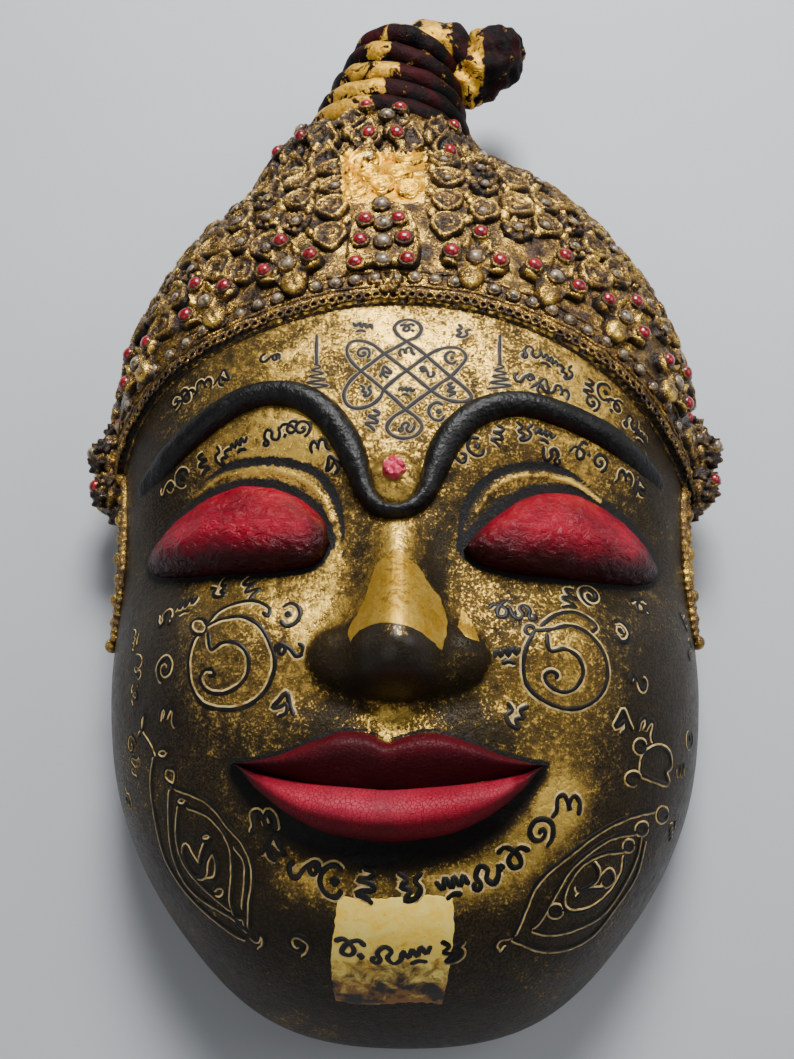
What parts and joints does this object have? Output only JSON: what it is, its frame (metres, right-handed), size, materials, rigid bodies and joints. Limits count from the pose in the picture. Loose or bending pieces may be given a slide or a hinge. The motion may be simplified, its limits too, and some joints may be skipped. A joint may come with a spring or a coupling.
{
  "type": "ngang spirit mask",
  "caption": "Carved and gilded spirit mask with a moulded, stone-set crown, a wound topknot and a hollow back with a flat rim; hangs on a wall or lies on it.",
  "frame": {"origin": "middle of the flat back rim's plane, under the middle of the bounding box", "axes": "+X to the viewer's right, +Y from the chin to the topknot, +Z out of the face; the mask lies on its back rim"},
  "size_m": [0.272, 0.4614, 0.1266],
  "materials": {
    "gilded_lacquer": "worn gold leaf over dark lacquer on wood, with black ink, red lips and lids",
    "red_stone": "glossy red glass paste",
    "clear_stone": "cloudy grey glass paste"
  },
  "bodies": {
    "root": {"collar_left_stone_1": "red_stone", "collar_left_stone_2": "red_stone", "collar_left_stone_3": "clear_stone", "collar_middle_stone_1": "clear_stone", "collar_middle_stone_2": "red_stone", "collar_middle_stone_3": "red_stone", "collar_middle_stone_4": "red_stone", "collar_middle_stone_5": "red_stone", "collar_right_stone_1": "red_stone", "collar_right_stone_2": "red_stone", "collar_right_stone_3": "clear_stone", "crown_middle_stone_1": "clear_stone", "crown_middle_stone_10": "red_stone", "crown_middle_stone_2": "clear_stone", "crown_middle_stone_3": "clear_stone", "crown_middle_stone_4": "clear_stone", "crown_middle_stone_5": "red_stone", "crown_middle_stone_6": "red_stone", "crown_middle_stone_7": "red_stone", "crown_middle_stone_8": "red_stone", "crown_middle_stone_9": "red_stone", "forehead_stone_1": "red_stone", "lappet_1_stone_1": "clear_stone", "lappet_1_stone_2": "red_stone", "lappet_1_stone_3": "red_stone", "lappet_1_stone_4": "red_stone", "lappet_2_stone_1": "clear_stone", "lappet_2_stone_2": "red_stone", "lappet_2_stone_3": "red_stone", "lappet_2_stone_4": "red_stone", "lappet_3_stone_1": "clear_stone", "lappet_3_stone_2": "red_stone", "lappet_3_stone_3": "red_stone", "lappet_3_stone_4": "red_stone", "lappet_4_stone_1": "clear_stone", "lappet_4_stone_2": "red_stone", "lappet_4_stone_3": "red_stone", "lappet_4_stone_4": "red_stone", "lappet_5_stone_1": "clear_stone", "lappet_5_stone_2": "red_stone", "lappet_5_stone_3": "red_stone", "lappet_5_stone_4": "red_stone", "lappet_6_stone_1": "clear_stone", "lappet_6_stone_2": "red_stone", "lappet_6_stone_3": "red_stone", "lappet_6_stone_4": "red_stone", "lappet_7_stone_1": "clear_stone", "lappet_7_stone_2": "red_stone", "lappet_7_stone_3": "red_stone", "lappet_7_stone_4": "red_stone", "mask_body": "gilded_lacquer"}
  },
  "joints": []
}
